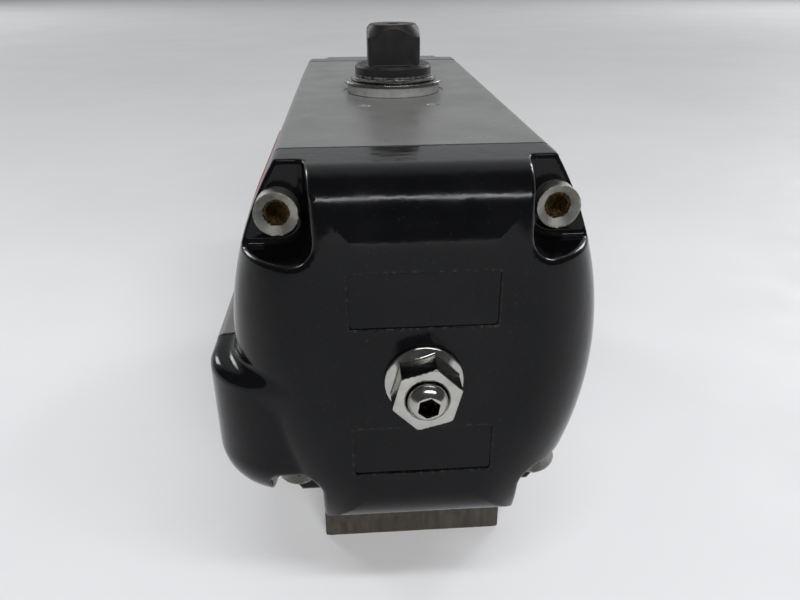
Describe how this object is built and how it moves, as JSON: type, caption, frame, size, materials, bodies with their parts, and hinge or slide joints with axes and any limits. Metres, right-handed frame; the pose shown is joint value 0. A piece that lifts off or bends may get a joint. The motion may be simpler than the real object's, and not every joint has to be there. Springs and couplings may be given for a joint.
{
  "type": "rotary pneumatic actuator",
  "caption": "Double-acting rack-and-pinion rotary pneumatic actuator with a grey body, black end caps, travel stop screws and a square-topped drive shaft.",
  "frame": {"origin": "on the pinion's axis, in the plane of the face that bolts to the valve", "axes": "+Y along the bore towards the rear end cap, +Z along the pinion towards its square top, +X towards the air port pad"},
  "size_m": [0.148, 0.3448, 0.202],
  "materials": {
    "body_coat": "semi-matt grey anodised coat with fine scuffs",
    "cap_coat": "glossy black powder coat over a casting",
    "screw_steel": "dull zinc-plated steel with rust in the sockets",
    "bright_steel": "polished stainless steel",
    "pinion_steel": "blackened steel, worn to metal on its edges",
    "washer_steel": "plain steel",
    "acetal": "moulded grey acetal",
    "rubber": "nitrile rubber",
    "piston_aluminium": "die-cast aluminium, machined on the rack",
    "label": "printed polyester label"
  },
  "bodies": {
    "housing": {"body": "body_coat", "side_label": "label", "lower_bearing": "acetal", "upper_bearing": "acetal", "thrust_washer": "acetal", "front_end_cap": "cap_coat", "front_cap_gasket": "rubber", "front_cap_screw_1": "screw_steel", "front_cap_screw_2": "screw_steel", "front_cap_screw_3": "screw_steel", "front_cap_screw_4": "screw_steel", "front_lock_nut": "bright_steel", "front_stop_seal": "rubber", "rear_end_cap": "cap_coat", "rear_cap_gasket": "rubber", "rear_cap_screw_1": "screw_steel", "rear_cap_screw_2": "screw_steel", "rear_cap_screw_3": "screw_steel", "rear_cap_screw_4": "screw_steel", "rear_lock_nut": "bright_steel", "rear_stop_seal": "rubber"},
    "pinion": {"pinion": "pinion_steel", "steel_washer": "washer_steel", "retaining_ring": "washer_steel", "lower_oring": "rubber", "upper_oring": "rubber"},
    "front_piston": {"front_piston": "piston_aluminium", "front_piston_oring": "rubber", "front_guide_band": "acetal", "front_rack_pad": "acetal"},
    "front_stop": {"front_stop_screw": "bright_steel"},
    "rear_piston": {"rear_piston": "piston_aluminium", "rear_piston_oring": "rubber", "rear_guide_band": "acetal", "rear_rack_pad": "acetal"},
    "rear_stop": {"rear_stop_screw": "bright_steel"}
  },
  "joints": [
    {"name": "pinion_turn", "type": "hinge", "parent": "housing", "child": "pinion", "pos_m": [0, 0, 0.106], "axis": [0, 0, 1], "range_deg": [0, 90]},
    {"name": "front_piston_slide", "type": "slide", "parent": "housing", "child": "front_piston", "axis": [0, -1, 0], "range_m": [0, 0.032]},
    {"name": "rear_piston_slide", "type": "slide", "parent": "housing", "child": "rear_piston", "axis": [0, 1, 0], "range_m": [0, 0.032]},
    {"name": "front_stop_adjust", "type": "slide", "parent": "housing", "child": "front_stop", "axis": [0, -1, 0], "range_m": [0, 0.006]},
    {"name": "rear_stop_adjust", "type": "slide", "parent": "housing", "child": "rear_stop", "axis": [0, 1, 0], "range_m": [0, 0.006]}
  ],
  "couplings": [
    {"joint": "front_piston_slide", "follows": "pinion_turn", "m_per_rad": 0.02},
    {"joint": "rear_piston_slide", "follows": "pinion_turn", "m_per_rad": 0.02}
  ]
}
